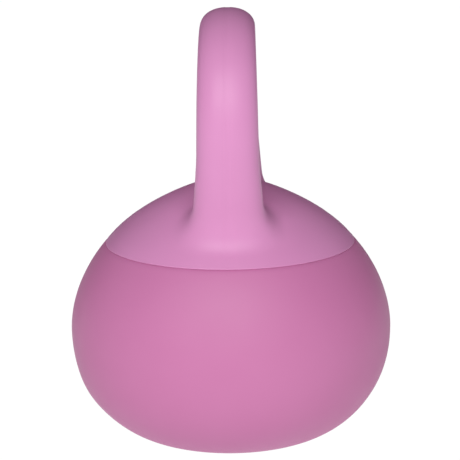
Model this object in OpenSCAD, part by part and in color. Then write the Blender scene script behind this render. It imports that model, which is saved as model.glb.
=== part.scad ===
// Soft kettlebell. A sand-filled vinyl ball carries a hollow moulded handle,
// which spreads into a domed cap and is clamped into the ball's neck.
// Millimetres, +Z up. The origin is the middle of the flat face that the ball
// stands on. The grip bar runs along X, and the two halves of the handle meet
// on the plane y = 0.

/* [Ball] */
// Largest diameter of the ball
ball_d = 170; // [150:1:204]
// Diameter of the flat face that the ball stands on
foot_d = 95; // [80:1:114]
// Height of the ball's widest ring
waist_z = 55.5; // [48:0.5:68]
// Height from the widest ring to where the upper curve would close
crown_h = 76.5; // [64:0.5:92]
// Wall of the soft vinyl skin
skin_wall = 4.5; // [3.5:0.25:5.5]
// Diameter of the filling hole in the base
fill_hole_d = 46; // [36:1:56]
// Gap that is left between the filling and the screw heads
headspace = 3; // [2:0.5:10]

/* [Cap] */
// Diameter of the cap's rim, where it meets the ball
cap_d = 132; // [120:1:150]
// Height of the cap's crown above its rim
cap_rise = 36; // [30:0.5:43]
// Depth that the rim's skirt drops into the ball's shoulder
skirt_h = 2; // [1:0.25:3]
// Diameter of the ball's neck opening, under the cap
neck_d = 68; // [56:1:76]

/* [Handle] */
// Clear height of the hand window above the cap's crown
window_h = 66.5; // [55:0.5:80]
// Width over the two columns at their widest
handle_span = 123; // [112:1:140]
// Height of the columns' widest point above the crown
bend_rise = 27; // [22:0.5:32]
// Distance from the cap's rim in to each column's outer face
foot_setback = 13; // [11:0.5:18]
// Thickness of the grip bar, up and down
grip_t = 21; // [18:0.5:25]
// Width of the grip bar, front to back
grip_w = 28; // [24:0.5:34]
// Thickness of the columns at their feet
foot_t = 24; // [21:0.5:28]
// Width of the columns at their feet, front to back
foot_w = 32; // [28:0.5:38]
// Wall of the moulded halves
shell_wall = 3; // [2.5:0.25:3.5]

/* [Clamp] */
// Thickness of the clamp plate
plate_t = 4; // [3:0.25:5]
// Distance from the cap's rim in to the clamp plate's edge
plate_setback = 10; // [9:0.5:14]
// Thickness of the foam seal between the plate and the ball's lip
seal_t = 1.5; // [1:0.25:2.5]
// Diameter of the screws' threads
screw_d = 4; // [3:0.5:4.5]
// Length of thread that bites above the handle's floor
screw_bite = 6; // [4:0.5:7]
// Number of screws round the neck
screw_count = 8; // [4:4:12]

/* [Fits] */
// Gap all round between a piece and the opening that locates it
locate_gap = 0.3; // [0.2:0.05:0.5]
// Gap all round a screw where it passes freely
screw_gap = 0.4; // [0.2:0.05:0.6]
// Gap between two surfaces that only lie close
rest_gap = 0.15; // [0.1:0.05:0.3]

/* [Hidden] */

handle_pink = [0.89, 0.62, 0.80];
ball_pink = [0.84, 0.52, 0.71];

ball_r = ball_d / 2;
foot_r = foot_d / 2;
cap_r = cap_d / 2;
neck_r = neck_d / 2;
fill_hole_r = fill_hole_d / 2;
screw_r = screw_d / 2;

// How full each curve is: 2 is a plain ellipse, more is squarer, less is leaner.
lower_full_r = 1.54;
lower_full_z = 2.21;
upper_full_r = 1.88;
upper_full_z = 1.86;
cap_full_r = 1.21;
cap_full_z = 2.21;
arch_full = 2.2;
section_full = 2.2;

// The cap's curve would reach its base this much further out than its rim.
cap_spread = 1.133;
// Radius over which the crown is blunted.
cap_blunt = 6;

function full_pow(v, full) = sign(v) * pow(abs(v), 2 / full);
function mix(a, b, t) = a + (b - a) * t;

// ---- The ball's curve, at an inset w from its outside ----

function ball_lower(a, w) = [
    foot_r - w + (ball_r - foot_r) * full_pow(sin(a), lower_full_r),
    waist_z - (waist_z - w) * full_pow(cos(a), lower_full_z)
];
function ball_upper(a, w) = [
    (ball_r - w) * full_pow(cos(a), upper_full_r),
    waist_z + (crown_h - w) * full_pow(sin(a), upper_full_z)
];
// Angles along the upper curve at a radius, and at a height
function upper_at_r(r, w) = acos(pow(r / (ball_r - w), upper_full_r / 2));
function upper_at_z(z, w) = asin(pow((z - waist_z) / (crown_h - w), upper_full_z / 2));

profile_step = 6;
seam_z = ball_upper(upper_at_r(cap_r, 0), 0)[1];

function ball_curve(w, top_a) = concat(
    [for (a = [0 : profile_step : 90 - profile_step]) ball_lower(a, w)],
    [for (k = [0 : 8]) ball_upper(top_a * k / 8, w)]
);
function reversed(list) = [for (i = [len(list) - 1 : -1 : 0]) list[i]];

// ---- Levels up through the clamped neck ----

skirt_r = cap_r - shell_wall;
plate_r = cap_r - plate_setback;
lip_top = seam_z + skirt_h;
lip_bottom = lip_top - skin_wall;
seal_bottom = lip_bottom - seal_t;
plate_bottom = seal_bottom - plate_t;
floor_top = lip_top + shell_wall;
screw_circle_r = (neck_r + plate_r) / 2;
// A pan head's radius and height, for each millimetre of the thread's
pan_head_r = 1.95;
pan_head_h = 0.62;
head_r = screw_r * pan_head_r;
head_h = screw_d * pan_head_h;
fill_top = plate_bottom - head_h - headspace;
seal_margin = 2;

// ---- The cap's curve ----

function blunt(r) = sqrt(r * r + cap_blunt * cap_blunt);
function cap_raw(r) = pow(1 - pow(blunt(r) / (cap_r * cap_spread), cap_full_r), 1 / cap_full_z);
function cap_z(r) = seam_z + cap_rise * (cap_raw(r) - cap_raw(cap_r)) / (1 - cap_raw(cap_r));
function cap_slope(r) = (cap_z(r) - cap_z(r - 0.2)) / 0.2;
function cap_stretch(r) = sqrt(1 + pow(cap_slope(r), 2));
// A point on the curve moved in by w, square to it
function cap_point(r, w) = [
    max(0, r + w * cap_slope(r) / cap_stretch(r)),
    cap_z(r) - w / cap_stretch(r)
];
// The height of the same inset surface straight under or over a radius
function cap_inset_z(r, w) = cap_z(min(r, cap_r)) - w * cap_stretch(min(r, cap_r));

crown_z = cap_z(0);

// ---- The handle's centre line and section ----

top_z = crown_z + window_h + grip_t;
bend_z = crown_z + bend_rise;
arch_rise = top_z - grip_t / 2 - bend_z;
foot_face_x = cap_r - foot_setback;
foot_z = cap_z(foot_face_x);
bend_t = mix(grip_t, foot_t, 0.4);
bend_x = handle_span / 2 - bend_t / 2;
foot_x = foot_face_x - foot_t / 2;

function column_part(z) = (bend_z - z) / (bend_z - foot_z);
function column_x(z) = mix(bend_x, foot_x, pow(column_part(z), 2));
function half_t(z) = mix(bend_t, foot_t, column_part(z)) / 2;
function half_w(z) = mix(grip_w, foot_w, (top_z - z) / (top_z - foot_z)) / 2;

// A column's surface at height z. th is 0 on the outer face and 90 at the back.
function column_point(z, th, w) = [
    column_x(z) + (half_t(z) - w) * full_pow(cos(th), section_full),
    (half_w(z) - w) * full_pow(sin(th), section_full),
    z
];

// The fillet at a column's foot: how far it climbs the column and how far it spreads
// on the cap, each on the column's outer face, its sides and its inner face
fillet_climb = [14, 28, 20];
fillet_spread = [8, 13, 13];
function round_foot(th, sizes) =
    mix(cos(th) > 0 ? sizes[0] : sizes[2], sizes[1], pow(sin(th), 2));
function foot_climb(th) = round_foot(th, fillet_climb);
function foot_spread(th) = round_foot(th, fillet_spread);

function plan_r(p) = norm([p[0], p[1]]);
// Height where the column's wall would meet the cap, found in a few passes
function meet_z(th, w, z, passes) = passes == 0 ? z :
    meet_z(th, w, cap_inset_z(plan_r(column_point(z, th, w)), w), passes - 1);
function foot_corner(th, w) = column_point(meet_z(th, w, foot_z, 3), th, w);
function foot_toe(corner, th, w) =
    let (x = corner[0] + foot_spread(th) * cos(th), y = corner[1] + foot_spread(th) * sin(th))
    [x, y, cap_inset_z(norm([x, y]), w) - rest_gap];

// The tube's rows start on the floor, and rise through the fillet to the column.
around = 24;
fillet_rows = 5;
wall_rows = 3;
arch_rows = 16;
ring_angles = [for (i = [0 : around - 1]) i * 360 / around];
column_start_z = max([for (th = ring_angles) foot_corner(th, 0)[2] + foot_climb(th)]) + 1;

function bezier(p, q, r, t) = (1 - t) * (1 - t) * p + 2 * t * (1 - t) * q + t * t * r;
function fillet_point(th, w, t) =
    let (corner = foot_corner(th, w))
    bezier(foot_toe(corner, th, w), corner, column_point(corner[2] + foot_climb(th), th, w), t);
function wall_point(th, w, t) =
    column_point(mix(foot_corner(th, w)[2] + foot_climb(th), column_start_z, t), th, w);
function floor_point(th, w) =
    let (toe = foot_toe(foot_corner(th, w), th, w))
    [toe[0], toe[1], seam_z + rest_gap];

function foot_ring(k, w) = [for (th = ring_angles)
    k == 0 ? floor_point(th, w) :
    k <= fillet_rows ? fillet_point(th, w, (k - 1) / fillet_rows) :
    wall_point(th, w, (k - 1 - fillet_rows) / wall_rows)];

// Centre, outward direction and section of the arch, at an angle from its +X end
function arch_centre(a) = [
    bend_x * full_pow(cos(a), arch_full),
    0,
    bend_z + arch_rise * full_pow(sin(a), arch_full)
];
function arch_out(a) =
    let (p = 2 - 2 / arch_full)
    let (v = [sign(cos(a)) * pow(abs(cos(a)), p) / bend_x, 0, pow(abs(sin(a)), p) / arch_rise])
    v / norm(v);
function arch_ring(a, w) =
    let (c = arch_centre(a), out = arch_out(a))
    let (t = mix(bend_t, grip_t, sin(a)) / 2 - w, b = half_w(c[2]) - w)
    [for (th = ring_angles) c
        + out * t * full_pow(cos(th), section_full)
        + [0, 1, 0] * b * full_pow(sin(th), section_full)];

function mirrored(ring) = [for (p = ring) [-p[0], p[1], p[2]]];
foot_rows = fillet_rows + wall_rows + 2;

// ---- Solids shared by the handle's halves ----

module tube(rings) {
    n = len(rings[0]);
    last = len(rings) - 1;
    sides = [for (k = [0 : last - 1], i = [0 : n - 1]) let (j = (i + 1) % n)
        each [[k * n + i, (k + 1) * n + j, k * n + j], [k * n + i, (k + 1) * n + i, (k + 1) * n + j]]];
    ends = [[for (i = [0 : n - 1]) i], [for (i = [n - 1 : -1 : 0]) last * n + i]];
    polyhedron(points = [for (r = rings) each r], faces = concat(sides, ends));
}

module arch_form(w) {
    right = [for (k = [0 : foot_rows - 1]) foot_ring(k, w)];
    over = [for (k = [0 : arch_rows]) arch_ring(180 * k / arch_rows, w)];
    left = [for (k = [foot_rows - 1 : -1 : 0]) mirrored(foot_ring(k, w))];
    tube(concat(right, over, left));
}

module cap_form(w) {
    steps = 11;
    curve = [for (i = [0 : steps]) cap_point(cap_r * (1 - pow(i / steps, 1.3)), w)];
    rotate_extrude($fn = 2 * around)
        polygon(concat([[0, curve[0][1]]], curve));
}

// The outside of the handle and cap at w = 0, and surfaces inside it
module handle_form(w) {
    arch_form(w);
    cap_form(w);
}

reach = ball_d + window_h;
// What is on one side of the parting plane: -1 is the front, 1 is the back
module half_space(side) {
    translate([-reach, side > 0 ? 0 : -2 * reach, -reach])
        cube([2 * reach, 2 * reach, 3 * reach]);
}
module above(z) {
    translate([-reach, -reach, z])
        cube([2 * reach, 2 * reach, 2 * reach]);
}

module at_screws(side) {
    for (k = [0 : screw_count - 1]) {
        turn = 360 * (k + 0.5) / screw_count;
        if (side == 0 || sign(sin(turn)) == side)
            rotate(turn)
                translate([screw_circle_r, 0, 0])
                    children();
    }
}

// ---- Inside the halves ----

boss_r = 2 * screw_r;
web_t = 2;
web_h = 8;
peg_r = 2;
peg_l = 4;
peg_boss_r = 4;
rib_depth = 4;
rib_angles = [30, 60, 120, 150];
rib_spread = 1.2;
lap_outer = shell_wall * 0.3;
lap_inner = shell_wall * 0.7;
lap_h = 1.4;

peg_places = [[bend_x, bend_z], [-bend_x, bend_z], [0, top_z - grip_t / 2]];

// Screw bosses, each with a web that ties it to the rim
module boss_set(side) {
    at_screws(side) {
        translate([0, 0, lip_top])
            cylinder(r = boss_r, h = cap_rise, $fn = 24);
        hull() {
            translate([0, 0, lip_top])
                cylinder(d = web_t, h = web_h, $fn = 8);
            translate([cap_r - screw_circle_r, 0, lip_top])
                cylinder(d = web_t, h = web_h, $fn = 8);
        }
    }
}

module arch_slice(a, w) {
    out = arch_out(a);
    c = arch_centre(a);
    pts = [for (th = ring_angles) [
        (mix(bend_t, grip_t, sin(a)) / 2 - w) * full_pow(cos(th), section_full),
        (half_w(c[2]) - w) * full_pow(sin(th), section_full)]];
    translate(c)
        rotate([0, -atan2(out[2], out[0]), 0])
            linear_extrude(0.1, center = true)
                polygon(pts);
}

// Hoops that stiffen the grip
module rib_set() {
    difference() {
        for (a = rib_angles)
            hull() {
                arch_slice(a - rib_spread, shell_wall / 2);
                arch_slice(a + rib_spread, shell_wall / 2);
            }
        arch_form(shell_wall + rib_depth);
    }
}

module at_pegs() {
    for (p = peg_places)
        translate([p[0], 0, p[1]])
            rotate([90, 0, 0])
                children();
}

module peg_bosses(side) {
    at_pegs()
        translate([0, 0, side < 0 ? 0 : -grip_w])
            cylinder(r = peg_boss_r, h = grip_w, $fn = 20);
}

// The lap along the parting line: a tongue on the front, a groove in the back
module lap(gap) {
    intersection() {
        difference() {
            handle_form(lap_outer - gap);
            handle_form(lap_inner + gap);
        }
        translate([-reach, -rest_gap, floor_top])
            cube([2 * reach, lap_h + gap + rest_gap, reach]);
    }
}

module handle_half(side) {
    difference() {
        union() {
            difference() {
                intersection() {
                    handle_form(0);
                    half_space(side);
                }
                intersection() {
                    handle_form(shell_wall);
                    above(floor_top);
                }
            }
            intersection() {
                union() {
                    boss_set(side);
                    rib_set();
                    peg_bosses(side);
                }
                handle_form(shell_wall / 2);
                half_space(side);
                above(lip_top + rest_gap);
            }
        }
        translate([0, 0, -reach + lip_top])
            cylinder(r = skirt_r, h = reach, $fn = 2 * around);
        cylinder(r = neck_r - locate_gap, h = floor_top + 1, $fn = 2 * around);
        at_screws(0)
            cylinder(r = screw_r + rest_gap, h = floor_top + screw_bite + 1, $fn = 16);
    }
}

// ---- Sub-parts ----

module handle_front_half() {
    color(handle_pink)
        union() {
            handle_half(-1);
            lap(0);
            at_pegs()
                translate([0, 0, -peg_l])
                    cylinder(r = peg_r, h = peg_l + 1, $fn = 16);
        }
}

module handle_back_half() {
    color(handle_pink)
        difference() {
            handle_half(1);
            lap(rest_gap);
            at_pegs()
                translate([0, 0, -peg_l - 1])
                    cylinder(r = peg_r + rest_gap, h = peg_l + 2, $fn = 16);
        }
}

// A disc under the ball's lip, with a collar that centres the lip and the handle
module clamp_plate() {
    collar_r = neck_r - 2 * locate_gap;
    collar_t = 3;
    spoke_h = floor_top - seal_bottom - 1;
    color([0.80, 0.80, 0.82])
        difference() {
            union() {
                translate([0, 0, plate_bottom])
                    cylinder(r = plate_r, h = plate_t, $fn = 96);
                translate([0, 0, seal_bottom])
                    difference() {
                        cylinder(r = collar_r, h = floor_top - seal_bottom, $fn = 96);
                        translate([0, 0, -1])
                            cylinder(r = collar_r - collar_t, h = reach, $fn = 96);
                    }
                for (turn = [0, 60, 120])
                    rotate(turn)
                        translate([-collar_r + 1, -1, seal_bottom - 1])
                            cube([2 * collar_r - 2, 2, spoke_h + 1]);
            }
            at_screws(0)
                cylinder(r = screw_r + screw_gap, h = reach, $fn = 32);
        }
}

// A flat foam ring that keeps the filling out of the screw holes
module neck_seal() {
    color([0.25, 0.25, 0.27])
        difference() {
            translate([0, 0, seal_bottom])
                cylinder(r = plate_r, h = seal_t, $fn = 96);
            cylinder(r = neck_r + seal_margin, h = reach, $fn = 96);
            at_screws(0)
                cylinder(r = screw_r + screw_gap, h = reach, $fn = 32);
        }
}

// Pan-head screws, driven up through the filling hole before the ball is filled
module clamp_screws() {
    point_h = screw_r;
    recess_w = screw_d * 0.24;
    recess_l = screw_d * 0.95;
    color([0.72, 0.73, 0.75])
        at_screws(0)
            difference() {
                rotate_extrude($fn = 32)
                    polygon([
                        [0, plate_bottom - head_h],
                        [head_r * 0.7, plate_bottom - head_h],
                        [head_r, plate_bottom - head_h * 0.55],
                        [head_r, plate_bottom],
                        [screw_r, plate_bottom],
                        [screw_r, floor_top + screw_bite - point_h],
                        [0.3, floor_top + screw_bite],
                        [0, floor_top + screw_bite]
                    ]);
                for (turn = [0, 90])
                    rotate(turn)
                        translate([-recess_l / 2, -recess_w / 2, plate_bottom - head_h - 1])
                            cube([recess_l, recess_w, head_h * 0.6 + 1]);
            }
}

// The vinyl skin: a flat foot, a round body, a shoulder for the cap and a lip
module ball_skin() {
    ledge_r = skirt_r - locate_gap;
    edge = 1;
    outer = ball_curve(0, upper_at_r(cap_r, 0));
    inner = ball_curve(skin_wall, upper_at_z(lip_bottom, skin_wall));
    color(ball_pink)
        difference() {
            rotate_extrude($fn = 96)
                polygon(concat(
                    [[fill_hole_r, edge], [fill_hole_r + edge, 0]],
                    outer,
                    [[ledge_r, seam_z], [ledge_r, lip_top], [neck_r, lip_top], [neck_r, lip_bottom]],
                    reversed(inner),
                    [[fill_hole_r, skin_wall]]
                ));
            translate([0, 0, lip_bottom - 1])
                at_screws(0)
                    cylinder(r = screw_r + screw_gap, h = skin_wall + 2, $fn = 32);
        }
}

// The sand and iron filling, with its settled level top
module ball_fill() {
    w = skin_wall + rest_gap;
    curve = ball_curve(w, upper_at_z(fill_top, w));
    color([0.36, 0.33, 0.31])
        rotate_extrude($fn = 96)
            polygon(concat(
                [[0, stopper_top + rest_gap], [stopper_flange_r + rest_gap, stopper_top + rest_gap],
                 [stopper_flange_r + rest_gap, w]],
                curve,
                [[0, fill_top]]
            ));
}

stopper_flange_t = 2.5;
stopper_flange_lip = 4;
stopper_flange_r = fill_hole_r + stopper_flange_lip;
stopper_top = skin_wall + stopper_flange_t;

// A soft plug, glued into the filling hole and set back from the foot
module filler_stopper() {
    set_back = 0.8;
    plug_r = fill_hole_r - rest_gap;
    dish_r = plug_r - 6;
    dish_h = 1.8;
    color(ball_pink)
        rotate_extrude($fn = 96)
            polygon([
                [0, set_back + dish_h],
                [dish_r, set_back + dish_h],
                [dish_r + 2, set_back],
                [plug_r - 0.5, set_back],
                [plug_r, set_back + 0.5],
                [plug_r, skin_wall],
                [stopper_flange_r, skin_wall],
                [stopper_flange_r - 1, stopper_top],
                [0, stopper_top]
            ]);
}

handle_front_half();
handle_back_half();
clamp_plate();
neck_seal();
clamp_screws();
ball_skin();
ball_fill();
filler_stopper();
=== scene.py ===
# %% [markdown]
# # A soft kettlebell
# A soft kettlebell is a vinyl ball full of sand and iron grit, with a hollow moulded handle
# clamped into its neck. The handle spreads at its feet into a domed cap, and the cap sits flush
# in the ball's shoulder. This lesson makes its looks: two handle shells, the ball, their
# finishes, the light and the view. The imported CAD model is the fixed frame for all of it.

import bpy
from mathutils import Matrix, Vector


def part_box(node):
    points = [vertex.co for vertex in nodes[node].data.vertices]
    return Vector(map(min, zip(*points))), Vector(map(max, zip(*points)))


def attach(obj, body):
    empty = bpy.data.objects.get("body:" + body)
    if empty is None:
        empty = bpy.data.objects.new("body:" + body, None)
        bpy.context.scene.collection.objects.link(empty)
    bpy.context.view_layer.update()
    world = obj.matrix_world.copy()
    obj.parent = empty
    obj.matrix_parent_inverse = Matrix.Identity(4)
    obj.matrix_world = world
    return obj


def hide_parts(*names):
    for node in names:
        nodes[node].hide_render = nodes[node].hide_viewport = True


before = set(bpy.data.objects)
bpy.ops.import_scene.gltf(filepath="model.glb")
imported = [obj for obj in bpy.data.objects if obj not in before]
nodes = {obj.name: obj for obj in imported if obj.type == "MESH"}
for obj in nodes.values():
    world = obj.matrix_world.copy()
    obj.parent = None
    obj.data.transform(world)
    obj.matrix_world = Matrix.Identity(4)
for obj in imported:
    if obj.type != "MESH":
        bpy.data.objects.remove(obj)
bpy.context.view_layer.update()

# %% Tools that every cell uses
import math

import bpy
import numpy as np
from mathutils import Quaternion, Vector

MM = 0.001

# %% [markdown]
# ## Sizes
# A size that the frame can give is read from it, so that the looks follow the model when it
# changes: the ball's radius, the rim of the cap, the level of the seam and the top of the grip.
# The sizes that only shape a curve are named here, in millimetres, as a maker would write them.

# %% Sizes from the frame
ball_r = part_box("ball_skin")[1].x / MM
lip_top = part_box("ball_skin")[1].z / MM
cap_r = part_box("handle_back_half")[1].y / MM
seam_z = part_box("handle_back_half")[0].z / MM
top_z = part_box("handle_back_half")[1].z / MM
hole_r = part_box("filler_stopper")[1].x / MM - 4
print(f"ball radius {ball_r:.1f}, cap radius {cap_r:.1f}, seam at {seam_z:.1f}, top at {top_z:.1f}")

# %% Sizes that shape the curves
foot_r = 47.5
waist_z = 55.5
crown_h = 76.5
skin_wall = 4.5
neck_r = 34.0
cap_rise = 36.0
cap_spread = 1.133
cap_blunt = 6.0
cap_lean, cap_full = 1.21, 2.21
shell_wall = 3.0
grip_t = 21.0
grip_w = 28.0
waist_w = 0.2
foot_t = 24.0
foot_w = 32.0
handle_span = 123.0
bend_rise = 27.0
foot_setback = 13.0

# %% [markdown]
# ## Curves that are a little fuller or leaner than an ellipse
# Moulded and stuffed shapes are rarely true ellipses. A superellipse has one more number, its
# fullness: 2 is an ellipse, more is squarer and less is leaner. One function serves the ball,
# the cap, the arch of the handle and the section of the grip.

# %% The superellipse and a mix


def full_pow(v, full):
    return np.sign(v) * np.abs(v) ** (2 / full)


def mix(a, b, t):
    return a + (b - a) * t


# %% [markdown]
# ## The cap's dome
# The dome is a surface of revolution, so its height is a function of the distance from the axis.
# Its slope gives the normal, which moves the surface in by the wall for the inside of the shell.

# %% The dome's height and slope


def cap_raw(r):
    blunt = np.sqrt(r * r + cap_blunt**2)
    return (1 - (blunt / (cap_r * cap_spread)) ** cap_lean) ** (1 / cap_full)


def cap_z(r):
    r = np.minimum(r, cap_r)
    return seam_z + cap_rise * (cap_raw(r) - cap_raw(cap_r)) / (1 - cap_raw(cap_r))


def cap_slope(r):
    r = np.minimum(r, cap_r)
    return (cap_z(r) - cap_z(r - 0.05)) / 0.05


def cap_inset_z(r, w):
    return cap_z(r) - w * np.sqrt(1 + cap_slope(r) ** 2)


crown_z = float(cap_z(0.0))
print(f"crown of the cap at {crown_z:.1f} mm")

# %% [markdown]
# ## The handle's line
# Each column leans out as it rises, up to the bend, and then the arch carries the line over.
# The section is an oval: thinner in the plane of the arch, wider across it, where the palm
# rests, and it grows towards the feet, as a moulding does to carry the load.

# %% The columns
bend_z = crown_z + bend_rise
arch_rise = top_z - grip_t / 2 - bend_z
foot_face_x = cap_r - foot_setback
foot_z = float(cap_z(foot_face_x))
bend_t = mix(grip_t, foot_t, 0.4)
bend_x = handle_span / 2 - bend_t / 2
foot_x = foot_face_x - foot_t / 2
SECTION_FULL = 2.2
ARCH_FULL = 2.2
FOOT_FLARE, FLARE_CLIMB, FLARE_POWER = 3.0, 40.0, 1.15


def half_w(z):
    """Half of the handle's width across the arch: it grows slowly, then faster near the foot."""
    low = np.clip(1 - (z - foot_z) / FLARE_CLIMB, 0, 1.2)
    middle = waist_w * np.clip((top_z - z) / FLARE_CLIMB, 0, 1) * np.clip(1 - low, 0, 1)
    straight = mix(grip_w, foot_w, (top_z - z) / (top_z - foot_z)) / 2
    return straight + middle + FOOT_FLARE * low**FLARE_POWER


def column_point(z, th, w):
    """A point of a column's wall at height z. th is 0 on its outer face and pi / 2 at the back."""
    part = (bend_z - z) / (bend_z - foot_z)
    half_t = mix(bend_t, foot_t, part) / 2
    x = mix(bend_x, foot_x, part**2) + (half_t - w) * full_pow(np.cos(th), SECTION_FULL)
    y = (half_w(z) - w) * full_pow(np.sin(th), SECTION_FULL)
    return np.stack([x, y, z + 0 * x], -1)


# %% The arch


def arch_point(a, th, w):
    """A point of the arch: a is its angle from the +X end, th turns round the section."""
    c, s = np.cos(a), np.sin(a)
    x, z = bend_x * full_pow(c, ARCH_FULL), bend_z + arch_rise * full_pow(s, ARCH_FULL)
    p = 2 - 2 / ARCH_FULL
    out = np.stack([np.sign(c) * np.abs(c) ** p / bend_x, np.abs(s) ** p / arch_rise], -1)
    out = out / np.linalg.norm(out, axis=-1, keepdims=True)
    t = (mix(bend_t, grip_t, s) / 2 - w) * full_pow(np.cos(th), SECTION_FULL)
    y = (half_w(z) - w) * full_pow(np.sin(th), SECTION_FULL)
    return np.stack([x + out[..., 0] * t, y, z + out[..., 1] * t], -1)


print(f"grip centre {top_z - grip_t / 2:.1f}, widest at {bend_z:.1f}, feet at {foot_z:.1f} mm")

# %% [markdown]
# ## Where a column meets the dome
# A moulded handle has no hard corner at its feet: the wall sweeps out on to the dome. Three ways
# could make that: a bevel on a boolean cut, a voxel remesh, or a patch drawn on purpose. The
# patch is best here, because its edge loops stay clean and its sweep can differ round the foot:
# tight at the sides, long on the inner face. Each ray round the foot is a cubic Bezier curve
# that leaves the wall along the wall and lands on the dome along the dome.

# %% The fillet round a foot
# Sizes in millimetres on the foot's outer face, its sides and its inner face.
FILLET_CLIMB = (14, 12, 20)
FILLET_SPREAD = (8, 11, 13)
FILLET_HANDLE = 0.62


def round_foot(th, outer, side, inner):
    """A size that changes round the foot, smoothly, from the outer face to the inner one."""
    c = np.cos(th)
    ends = mix(inner, outer, 0.5 + 0.5 * np.clip(c * 1.6, -1, 1))
    return mix(ends, side, np.sin(th) ** 2)


def foot_corner(th, w):
    z = np.full_like(th, foot_z)
    for _ in range(4):
        z = cap_inset_z(np.hypot(*column_point(z, th, w)[..., :2].T), w)
    return column_point(z, th, w)


def foot_ends(th, w):
    """Where a ray's fillet starts on the wall and ends on the dome, and its two tangents."""
    corner = foot_corner(th, w)
    climb, spread = round_foot(th, *FILLET_CLIMB), round_foot(th, *FILLET_SPREAD)
    z = corner[:, 2] + climb
    top = column_point(z, th, w)
    down = column_point(z - 0.5, th, w) - top
    down *= (climb / 0.5)[:, None]
    ray = np.stack([np.cos(th), np.sin(th)], -1)
    toe = corner[:, :2] + ray * spread[:, None]
    near = corner[:, :2] + ray * (spread - 0.5)[:, None]
    toe = np.column_stack([toe, cap_inset_z(np.hypot(*toe.T), w)])
    near = np.column_stack([near, cap_inset_z(np.hypot(*near.T), w)])
    back = (near - toe) * (spread / 0.5)[:, None]
    return top, down, toe, back


def fillet_row(th, w, t):
    top, down, toe, back = foot_ends(th, w)
    q = [toe, toe + back * FILLET_HANDLE, top + down * FILLET_HANDLE, top]
    return ((1 - t) ** 3 * q[0] + 3 * t * (1 - t) ** 2 * q[1]
            + 3 * t * t * (1 - t) * q[2] + t**3 * q[3])


# %% [markdown]
# ## The cap as a fan round the foot
# Half of the cap is a D seen from above: an arc of the rim and the straight line x = 0. Rays run
# from the foot's toe to that edge, and one ray lands in the D's corner, so the mesh has no gap
# and no odd triangle. Mirroring the fan across x = 0 gives the other foot. The rim then rolls
# over a small radius, as a moulded edge does, and turns in under the cap. Two rays run close to
# the parting plane on each side, because the band over the weld needs edges of its own.

# %% The rays
BAND = math.radians(3.8)
BAND_EDGE = math.radians(0.9)
RIM_RADIUS = 0.9
RIM_RAYS, LINE_RAYS = 30, 16
corner_angle = math.atan2(cap_r, -foot_x)
rays = np.concatenate([
    [0, BAND, BAND + BAND_EDGE],
    np.linspace(BAND + BAND_EDGE, corner_angle, RIM_RAYS)[1:],
    np.linspace(corner_angle, math.pi - BAND - BAND_EDGE, LINE_RAYS)[1:],
    [math.pi - BAND, math.pi],
])
CORNER = int(np.argmin(np.abs(rays - corner_angle)))
on_rim = np.arange(len(rays)) <= CORNER


def edge_of_cap(w):
    """Where each ray leaves the cap: on the rim's circle, or on the line x = 0."""
    r = cap_r - RIM_RADIUS
    c, s = np.cos(rays), np.sin(rays)
    far = -foot_x * c + np.sqrt(np.maximum(r**2 - (foot_x * s) ** 2, 0))
    spin = np.arctan2(far * s, foot_x + far * c)
    spin[CORNER] = math.pi / 2
    r_in = r - w
    line_y = -foot_x * np.tan(rays) * r_in / cap_r
    line_y[-1] = 0
    x = np.where(on_rim, r_in * np.cos(spin), 0)
    y = np.where(on_rim, r_in * np.sin(spin), line_y)
    y[CORNER] = r_in
    return np.stack([x, y], -1), spin


print(f"{len(rays)} rays round half a foot, {on_rim.sum()} of them to the rim")

# %% Rows from the rim to the top of a column
CAP_ROWS, FILLET_ROWS, WALL_ROWS, ARCH_ROWS = 14, 12, 5, 72
column_start_z = float(np.max(foot_ends(rays, 0)[0][:, 2])) + 1.0


def foot_rows(w):
    """Rows of points from the cap's edge up to the bend, at an inset w, for the +X foot."""
    edge, _ = edge_of_cap(w)
    toe = foot_ends(rays, w)[2][:, :2]
    rows = []
    for k in range(CAP_ROWS):
        p = mix(edge, toe, (k / CAP_ROWS) ** 0.9)
        rows.append(np.column_stack([p, cap_inset_z(np.hypot(*p.T), w)]))
    rows += [fillet_row(rays, w, k / FILLET_ROWS) for k in range(FILLET_ROWS)]
    start = foot_ends(rays, w)[0][:, 2]
    for k in range(WALL_ROWS):
        rows.append(column_point(mix(start, column_start_z, k / WALL_ROWS), rays, w))
    for z in np.linspace(column_start_z, bend_z, 5)[:-1]:
        rows.append(column_point(np.full_like(rays, z), rays, w))
    return rows


def shell_rows(w):
    """Rows of one surface of the back half, from one edge of the cap over to the other."""
    up = foot_rows(w)
    over = [arch_point(np.full_like(rays, a), rays, w) for a in np.linspace(0, math.pi, ARCH_ROWS)]
    down = [row * [-1, 1, 1] for row in reversed(up)]
    return np.array(up + over + down)


outside, inside = shell_rows(0.0), shell_rows(shell_wall)
print("handle surface:", outside.shape[0], "rows of", outside.shape[1], "points")

# %% [markdown]
# ## The parting band
# The two halves are moulded apart and welded. A slim flat band covers the weld all round, and
# its two edges show as faint lines. It is made in the mesh: the points on the parting plane and
# the next ones beside them sink a little along the surface's normal, and the rest stay.

# %% Sink the parting band
BAND_DEPTH = 0.1


def sink_parting_band(rows):
    for cols, side in (((0, 1), 1), ((-1, -2), -1)):
        p = rows[:, cols[0]]
        along = np.gradient(p[:, [0, 2]], axis=0)
        normal = np.column_stack([along[:, 1], np.zeros(len(p)), -along[:, 0]])
        normal /= np.maximum(np.linalg.norm(normal, axis=1, keepdims=True), 1e-9)
        if side < 0:
            normal[[0, -1]] = [0, 0, -1]
        for col in cols:
            rows[:, col] -= normal * BAND_DEPTH * side


sink_parting_band(outside)

# %% The rim's rounded edge and its underside
RIM_STEPS = 6


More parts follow.
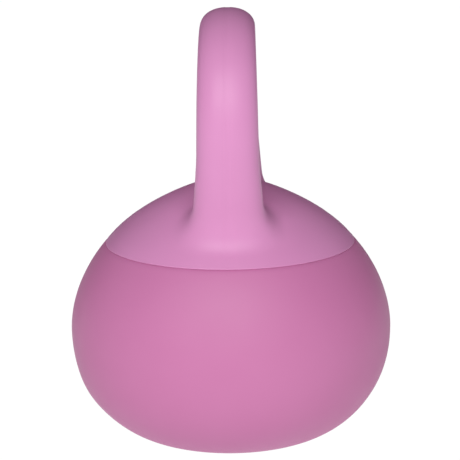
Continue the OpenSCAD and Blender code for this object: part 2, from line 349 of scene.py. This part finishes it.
def rim_section():
    """(radius, height) points from the dome's last row, round the edge, in under the cap."""
    r0 = cap_r - RIM_RADIUS
    z0, slope = float(cap_z(r0)), float(cap_slope(r0))
    tip = np.array([cap_r - 0.12, seam_z + 0.55])
    under = np.array([cap_r - 1.0, seam_z])
    start = np.array([r0, z0])
    lead = start + np.array([1, slope]) * 0.35
    t = np.linspace(0, 1, RIM_STEPS + 1)[1:, None]
    roll = ((1 - t) ** 3 * start + 3 * t * (1 - t) ** 2 * (lead + (tip - lead) * 0.6)
            + 3 * t * t * (1 - t) * np.array([cap_r, seam_z]) + t**3 * under)
    return np.vstack([start, roll, [[cap_r - shell_wall, seam_z]]])


rim = rim_section()
print("rim section, mm:", np.round(rim, 2).tolist())

# %% [markdown]
# ## From rows to a mesh
# The rows become quads. The outside, the inside, the cut edge on the parting plane and the rim
# are sheets that share their border points, and welding the points closes them into one shell
# with a real wall, like the moulding. The front half is the mirror image of the back.

# %% A helper that lays quads over a grid of points


class Sheets:
    """Collects grids of points and makes one welded mesh of them, in metres."""

    def __init__(self):
        self.points, self.quads = [], []

    def add(self, grid, flip=False):
        grid = np.asarray(grid, float)
        n, m = grid.shape[:2]
        first = sum(len(p) for p in self.points)
        at = first + np.arange(n * m).reshape(n, m)
        quad = np.stack([at[:-1, :-1], at[:-1, 1:], at[1:, 1:], at[1:, :-1]], -1).reshape(-1, 4)
        self.points.append(grid.reshape(-1, 3))
        self.quads.append(quad[:, ::-1] if flip else quad)

    def mesh(self, name, weld=1e-6):
        points = np.vstack(self.points) * MM
        key = np.round(points / weld).astype(np.int64)
        _, first, where = np.unique(key, axis=0, return_index=True, return_inverse=True)
        faces = []
        for quad in where.reshape(-1)[np.vstack(self.quads)]:
            face = list(dict.fromkeys(int(v) for v in quad))
            if len(face) > 2:
                faces.append(face)
        mesh = bpy.data.meshes.new(name)
        mesh.from_pydata(points[first].tolist(), [], faces)
        mesh.validate()
        return mesh


# %% The back half's sheets
def rim_strip(sign):
    """The rim's section carried round the rays that end on it, then up to the inside."""
    _, spin = edge_of_cap(0.0)
    spin = spin[on_rim]
    end = outside[0 if sign > 0 else -1][on_rim]
    inner = inside[0 if sign > 0 else -1][on_rim]
    rows = [end]
    for r, z in rim[1:]:
        ring = np.column_stack([sign * r * np.cos(spin), r * np.sin(spin), np.full_like(spin, z)])
        rows.append(ring)
    rows.append(inner)
    return rows


def half_mesh(name, side):
    """One half of the handle: side is 1 for the back and -1 for the front."""
    sheets = Sheets()
    turn = np.array([1, side, 1])
    flip = side < 0
    sheets.add(outside * turn, flip)
    sheets.add(inside * turn, not flip)
    for col in (0, -1):
        edge = np.stack([outside[:, col], inside[:, col]], 1)
        sheets.add(edge * turn, flip if col else not flip)
    for sign in (1, -1):
        strip = np.array(rim_strip(sign)) * turn
        strip_flip = flip if sign < 0 else not flip
        sheets.add(strip, strip_flip)
        section = strip[:, 0]
        apex = np.broadcast_to(section[-1], section.shape)
        sheets.add(np.stack([section, apex], 1), not strip_flip)
    return sheets.mesh(name)


def shown(name, mesh, sharp=38):
    """A new object for a mesh, smooth except where it turns a sharp corner."""
    obj = bpy.data.objects.new(name, mesh)
    bpy.context.scene.collection.objects.link(obj)
    mesh.shade_smooth()
    mesh.set_sharp_from_angle(angle=math.radians(sharp))
    return obj


handle_back = shown("handle_back_shell", half_mesh("handle_back_shell", 1))
handle_front = shown("handle_front_shell", half_mesh("handle_front_shell", -1))
for shell in (handle_back, handle_front):
    print(shell.name, len(shell.data.vertices), "points", len(shell.data.polygons), "faces")

# %% [markdown]
# ## The ball
# The ball is moulded in soft vinyl and packed tight, so it is round and full, with a flat foot
# and a shoulder that carries the cap. A profile turned round the axis makes it. Sand is never
# packed quite evenly, so a slow swell of a few tenths of a millimetre then runs over the surface,
# and a low slump bulges one side above the foot. Cloth simulation could also settle a bag like
# this, but a full moulded ball keeps its shape, so direct mesh work is the surer way.

# %% The ball's profile
LOWER_FULL_R, LOWER_FULL_Z = 1.54, 2.21
UPPER_FULL_R, UPPER_FULL_Z = 1.88, 1.86


def ball_lower(a, w):
    return np.stack([
        foot_r - w + (ball_r - foot_r) * full_pow(np.sin(a), LOWER_FULL_R),
        waist_z - (waist_z - w) * full_pow(np.cos(a), LOWER_FULL_Z)], -1)


def ball_upper(a, w):
    return np.stack([
        (ball_r - w) * full_pow(np.cos(a), UPPER_FULL_R),
        waist_z + (crown_h - w) * full_pow(np.sin(a), UPPER_FULL_Z)], -1)


seam_a = math.acos((cap_r / ball_r) ** (UPPER_FULL_R / 2))
lip_bottom = lip_top - skin_wall
under_lip_share = (lip_bottom - waist_z) / (crown_h - skin_wall)
under_lip_a = math.asin(under_lip_share ** (UPPER_FULL_Z / 2))
BALL_ROWS = 40
quarter = np.linspace(0, math.pi / 2, BALL_ROWS)
outer_curve = np.vstack([
    ball_lower(quarter, 0)[1:],
    ball_upper(np.linspace(0, seam_a, BALL_ROWS), 0)[1:-1]])
inner_curve = np.vstack([
    ball_lower(quarter, skin_wall),
    ball_upper(np.linspace(0, under_lip_a, BALL_ROWS), skin_wall)[1:]])[::-1]
print("ball: outer curve of", len(outer_curve), "points, seam at", np.round(outer_curve[-1], 2))

# %% The foot's soft edge, the shoulder and the lip
SHOULDER_ROUND = 0.6
ledge_r = cap_r - shell_wall - 0.3
turn_in = np.array([[cap_r - 0.1, seam_z - 0.12], [cap_r - SHOULDER_ROUND, seam_z - 0.02],
                    [cap_r - 2, seam_z], [ledge_r, seam_z], [ledge_r, lip_top], [neck_r, lip_top]])
foot_edge = np.array([[hole_r, skin_wall], [hole_r, 1.2], [hole_r + 0.4, 0.4], [hole_r + 1.2, 0.0],
                      [mix(hole_r, foot_r, 0.5), 0.0], [foot_r - 1.5, 0.0], [foot_r, 0.03]])
profile = np.vstack([foot_edge, outer_curve, turn_in, [[neck_r, lip_bottom]], inner_curve,
                     foot_edge[:1]])

# %% Turn the profile into the ball
BALL_SIDES = 192
SWELL = 0.13
SWELL_FADE_TOP, SWELL_FADE_FOOT = 25, 20
SLUMP, SLUMP_Z, SLUMP_TALL = 0.85, 23.0, 12.0


def swell(spin, z):
    """The slow unevenness of packed sand, in millimetres. It fades at the seam and the foot.
    The sand has also slumped a little on the -Y side, just above the foot."""
    foot_fade = np.clip(z / SWELL_FADE_FOOT, 0, 1)
    fade = np.clip((seam_z - z) / SWELL_FADE_TOP, 0, 1) * foot_fade
    waves = (np.sin(2 * spin + z / 34 + 0.7) + 0.7 * np.sin(3 * spin - z / 21 + 2.1)
             + 0.45 * np.sin(5 * spin + z / 15 + 4.0))
    slump = SLUMP * np.exp(-((z - SLUMP_Z) / SLUMP_TALL) ** 2) * np.maximum(-np.sin(spin), 0) ** 2
    return SWELL * fade * waves + foot_fade * slump


spins = np.linspace(0, 2 * math.pi, BALL_SIDES + 1)
spins[-1] = 0
radius = profile[:, 0][:, None] + 0 * spins[None, :]
height = profile[:, 1][:, None] + 0 * spins[None, :]
radius = radius + swell(spins[None, :], height)
ball_grid = np.stack([radius * np.cos(spins), radius * np.sin(spins), height], -1)
ball_sheets = Sheets()
ball_sheets.add(ball_grid)
ball = shown("ball_skin_soft", ball_sheets.mesh("ball_skin_soft"))
print("ball:", len(ball.data.vertices), "points")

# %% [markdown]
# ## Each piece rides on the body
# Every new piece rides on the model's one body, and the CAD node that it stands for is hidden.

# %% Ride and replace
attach(handle_back, "root")
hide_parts("handle_back_half")
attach(handle_front, "root")
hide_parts("handle_front_half")
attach(ball, "root")
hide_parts("ball_skin")

# %% [markdown]
# ## Finishes
# A finish is more than a colour. Moulded plastic has a fine grain from the mould, a sheen that
# hands polish unevenly, and pigment that varies a little. Each finish here is built from noise
# in the object's own space, so it stays on the piece from every side.

# %% Small helpers for node materials


class Finish:
    """A Principled material with a few node shortcuts."""

    def __init__(self, name, roughness, specular=0.5):
        self.material = bpy.data.materials.new(name)
        self.material.use_nodes = True
        self.tree = self.material.node_tree
        self.shader = self.tree.nodes["Principled BSDF"]
        self.shader.inputs["Roughness"].default_value = roughness
        self.shader.inputs["Specular IOR Level"].default_value = specular
        self.coords = self.tree.nodes.new("ShaderNodeTexCoord").outputs["Object"]

    def link(self, a, b):
        self.tree.links.new(a, b)

    def noise(self, size_mm, detail=2.0, rough=0.5, stretch=(1, 1, 1)):
        """Noise whose features are about size_mm across."""
        place = self.tree.nodes.new("ShaderNodeMapping")
        place.inputs["Scale"].default_value = stretch
        self.link(self.coords, place.inputs["Vector"])
        noise = self.tree.nodes.new("ShaderNodeTexNoise")
        noise.inputs["Scale"].default_value = 1 / (size_mm * MM)
        noise.inputs["Detail"].default_value = detail
        noise.inputs["Roughness"].default_value = rough
        self.link(place.outputs["Vector"], noise.inputs["Vector"])
        return noise.outputs["Fac"]

    def ramp(self, value, low, high, out_low, out_high):
        """Maps value from low..high to out_low..out_high, held at the ends."""
        node = self.tree.nodes.new("ShaderNodeMapRange")
        node.inputs["From Min"].default_value = low
        node.inputs["From Max"].default_value = high
        node.inputs["To Min"].default_value = out_low
        node.inputs["To Max"].default_value = out_high
        self.link(value, node.inputs["Value"])
        return node.outputs["Result"]

    def blend_colours(self, factor, a, b):
        node = self.tree.nodes.new("ShaderNodeMix")
        node.data_type = "RGBA"
        node.inputs["A"].default_value = (*a, 1)
        node.inputs["B"].default_value = (*b, 1)
        self.link(factor, node.inputs["Factor"])
        return node.outputs["Result"]

    def bump(self, heights, distance_mm, strength=1.0):
        """Adds fine relief from a list of (value, weight)."""
        total = None
        for value, weight in heights:
            node = self.tree.nodes.new("ShaderNodeMath")
            node.operation = "MULTIPLY_ADD"
            self.link(value, node.inputs[0])
            node.inputs[1].default_value = weight
            node.inputs[2].default_value = 0
            if total is not None:
                self.link(total, node.inputs[2])
            total = node.outputs[0]
        bump = self.tree.nodes.new("ShaderNodeBump")
        bump.inputs["Strength"].default_value = strength
        bump.inputs["Distance"].default_value = distance_mm * MM
        self.link(total, bump.inputs["Height"])
        self.link(bump.outputs["Normal"], self.shader.inputs["Normal"])

    def set(self, socket, value):
        self.link(value, self.shader.inputs[socket])


def wear(piece, finish):
    piece.data.materials.clear()
    piece.data.materials.append(finish.material)


# %% [markdown]
# ### The handle: satin moulded plastic
# The handle is moulded in a satin polypropylene. It has a very fine grain, a faint cloud in the
# pigment, and a sheen that varies a little in a long flow.

# %% The handle's finish
PINK = (0.82, 0.33, 0.635)
PINK_PALE = (0.84, 0.345, 0.655)


def handle_finish():
    f = Finish("handle satin plastic", 0.40, 0.28)
    cloud = f.noise(45, 2.0)
    flow = f.noise(14, 3.0, 0.6, (1, 1, 0.35))
    tint = f.ramp(cloud, 0.35, 0.65, 0.0, 1.0)
    f.set("Base Color", f.blend_colours(tint, PINK, PINK_PALE))
    f.set("Roughness", f.ramp(flow, 0.3, 0.7, 0.35, 0.43))
    f.bump([(f.noise(0.5, 2.0), 1.0), (f.noise(2.2, 2.0), 0.8)], 0.012)
    return f


handle_plastic = handle_finish()
wear(handle_back, handle_plastic)
wear(handle_front, handle_plastic)

# %% [markdown]
# ### The ball: soft vinyl
# Soft vinyl is duller than the handle and a touch deeper in colour. Its grain is softer and
# larger, and the foot picks up a little dust from the floor.

# %% The ball's finish
ROSE = (0.73, 0.24, 0.50)
ROSE_DEEP = (0.71, 0.225, 0.48)
ROSE_DUST = (0.62, 0.25, 0.43)


def ball_finish():
    f = Finish("ball soft vinyl", 0.5, 0.4)
    cloud = f.ramp(f.noise(60, 3.0), 0.35, 0.65, 0.0, 1.0)
    body = f.blend_colours(cloud, ROSE, ROSE_DEEP)
    axes = f.tree.nodes.new("ShaderNodeSeparateXYZ")
    f.link(f.coords, axes.inputs[0])
    low = f.ramp(axes.outputs["Z"], 0.0, 0.007, 1.0, 0.0)
    patchy = f.ramp(f.noise(5, 4.0, 0.6), 0.4, 0.7, 0.0, 0.6)
    dust = f.tree.nodes.new("ShaderNodeMath")
    dust.operation = "MULTIPLY"
    f.link(low, dust.inputs[0])
    f.link(patchy, dust.inputs[1])
    mixed = f.tree.nodes.new("ShaderNodeMix")
    mixed.data_type = "RGBA"
    mixed.inputs["B"].default_value = (*ROSE_DUST, 1)
    f.link(dust.outputs[0], mixed.inputs["Factor"])
    f.link(body, mixed.inputs["A"])
    f.set("Base Color", mixed.outputs["Result"])
    f.set("Roughness", f.ramp(f.noise(22, 3.0), 0.3, 0.7, 0.46, 0.56))
    f.bump([(f.noise(0.8, 2.0), 1.0), (f.noise(4.0, 2.0), 1.0)], 0.02)
    return f


wear(ball, ball_finish())

# %% [markdown]
# ### The pieces that stay as the CAD made them
# The plug, plate, seal, screws and filling keep their CAD shape and get a finish of their own.

# %% Finishes for the carried pieces


def plain_finish(name, colour_a, colour_b, rough_a, rough_b, cloud_mm, grain_mm, relief_mm):
    f = Finish(name, mix(rough_a, rough_b, 0.5))
    cloud = f.ramp(f.noise(cloud_mm, 3.0), 0.35, 0.65, 0.0, 1.0)
    f.set("Base Color", f.blend_colours(cloud, colour_a, colour_b))
    f.set("Roughness", f.ramp(f.noise(cloud_mm / 3, 3.0), 0.3, 0.7, rough_a, rough_b))
    f.bump([(f.noise(grain_mm, 3.0), 1.0)], relief_mm)
    return f


def screw_finish():
    f = plain_finish("screw zinc plate", (0.62, 0.63, 0.65), (0.72, 0.72, 0.70), 0.25, 0.4,
                     3, 0.4, 0.01)
    f.shader.inputs["Metallic"].default_value = 1.0
    return f


wear(nodes["filler_stopper"], plain_finish(
    "plug soft vinyl", (0.66, 0.21, 0.44), (0.62, 0.20, 0.42), 0.5, 0.62, 12, 0.6, 0.02))
wear(nodes["clamp_plate"], plain_finish(
    "plate moulded plastic", (0.60, 0.60, 0.62), (0.55, 0.55, 0.57), 0.4, 0.5, 30, 0.5, 0.01))
wear(nodes["neck_seal"], plain_finish(
    "seal closed foam", (0.03, 0.03, 0.033), (0.045, 0.045, 0.05), 0.8, 0.95, 8, 0.4, 0.08))
wear(nodes["ball_fill"], plain_finish(
    "fill sand and grit", (0.22, 0.19, 0.16), (0.10, 0.09, 0.085), 0.8, 0.95, 1.2, 0.5, 0.3))
wear(nodes["clamp_screws"], screw_finish())

# %% [markdown]
# ## Light and floor
# The light is a studio's: one large soft box in front and above, three weak ones at the sides
# and behind, a floor so pale that it lights the object from below, and a dim room overhead,
# which leaves the tops of surfaces deeper. The box behind casts no sheen, so edges stay deep.

# %% The floor
FLOOR_LIGHT = 0.76
FLOOR_SEEN = 1.02


def make_floor():
    """A light table: it looks white, and it lights the object a little less than that."""
    bpy.ops.mesh.primitive_plane_add(size=8)
    floor = bpy.context.object
    floor.name = "floor"
    f = Finish("floor light table", 0.9, 0.0)
    f.shader.inputs["Base Color"].default_value = (0.02, 0.02, 0.02, 1)
    f.shader.inputs["Emission Color"].default_value = (1, 1, 1, 1)
    seen = f.tree.nodes.new("ShaderNodeLightPath").outputs["Is Camera Ray"]
    f.set("Emission Strength", f.ramp(seen, 0, 1, FLOOR_LIGHT, FLOOR_SEEN))
    wear(floor, f)
    return floor


make_floor()

# %% The lamps


def soft_box(name, azimuth, elevation, width, height, irradiance, distance=1.5):
    """A soft box that faces the object. Azimuth 0 is the viewer's side, +X, and 90 is +Y."""
    a, e = math.radians(azimuth), math.radians(elevation)
    way = Vector((math.cos(a) * math.cos(e), math.sin(a) * math.cos(e), math.sin(e)))
    light = bpy.data.lights.new(name, "AREA")
    light.shape = "RECTANGLE"
    light.size, light.size_y = width, height
    light.energy = irradiance * math.pi**2 * distance**2
    obj = bpy.data.objects.new(name, light)
    bpy.context.scene.collection.objects.link(obj)
    obj.location = way * distance + Vector((0, 0, 0.1))
    obj.rotation_euler = (-way).to_track_quat("-Z", "Y").to_euler()
    return obj


soft_box("key soft box", -5, 36, 1.5, 0.8, 0.78)
soft_box("left soft box", -100, 8, 1.0, 0.8, 0.02)
soft_box("right soft box", 100, 8, 1.0, 0.8, 0.02)
back_fill = soft_box("back soft box", 180, 14, 1.2, 0.7, 0.05)
back_fill.visible_glossy = False

# %% The room


def dim_room(strength, seen_strength):
    """A dim room for the light, which the camera sees as the same white sweep as the floor."""
    world = bpy.data.worlds.new("room")
    bpy.context.scene.world = world
    world.use_nodes = True
    tree = world.node_tree
    room = tree.nodes["Background"]
    room.inputs["Color"].default_value = (1, 1, 1, 1)
    room.inputs["Strength"].default_value = strength
    sweep = tree.nodes.new("ShaderNodeBackground")
    sweep.inputs["Strength"].default_value = seen_strength
    sweep.inputs["Color"].default_value = (1, 1, 1, 1)
    pick = tree.nodes.new("ShaderNodeMixShader")
    path = tree.nodes.new("ShaderNodeLightPath")
    tree.links.new(path.outputs["Is Camera Ray"], pick.inputs["Fac"])
    tree.links.new(room.outputs[0], pick.inputs[1])
    tree.links.new(sweep.outputs[0], pick.inputs[2])
    tree.links.new(pick.outputs[0], tree.nodes["World Output"].inputs["Surface"])


dim_room(0.015, FLOOR_SEEN)
bpy.context.scene.view_settings.view_transform = "Standard"

# %% [markdown]
# ## The view
# The camera stands in line with the grip bar, a little above it, and looks down at the cap. A
# short distance would hide the far column behind the near one, and a long lens from afar would
# show the two alike, so the distance matters: at 0.8 metres, and turned by under a degree, the
# near column leaves a thin edge of the far one. A small roll gives the handle its lean.

# %% The camera
CAMERA_DISTANCE = 0.8
CAMERA_HEIGHT = 0.2868
CAMERA_TURN = math.radians(0.8)
CAMERA_PITCH = 0.222
CAMERA_ROLL = math.radians(-0.72)
LENS_PER_FRAME = 3.371


def make_camera():
    data = bpy.data.cameras.new("view")
    data.sensor_width = 36
    data.lens = data.sensor_width * LENS_PER_FRAME
    data.clip_start = 0.01
    camera = bpy.data.objects.new("view", data)
    bpy.context.scene.collection.objects.link(camera)
    a = CAMERA_TURN
    camera.location = (CAMERA_DISTANCE * math.cos(a), CAMERA_DISTANCE * math.sin(a), CAMERA_HEIGHT)
    aim = Vector((-math.cos(a) * math.cos(CAMERA_PITCH),
                  -math.sin(a) * math.cos(CAMERA_PITCH), -math.sin(CAMERA_PITCH)))
    roll = Quaternion((0, 0, 1), CAMERA_ROLL)
    camera.rotation_euler = (aim.to_track_quat("-Z", "Y") @ roll).to_euler()
    bpy.context.scene.camera = camera
    return camera


make_camera()
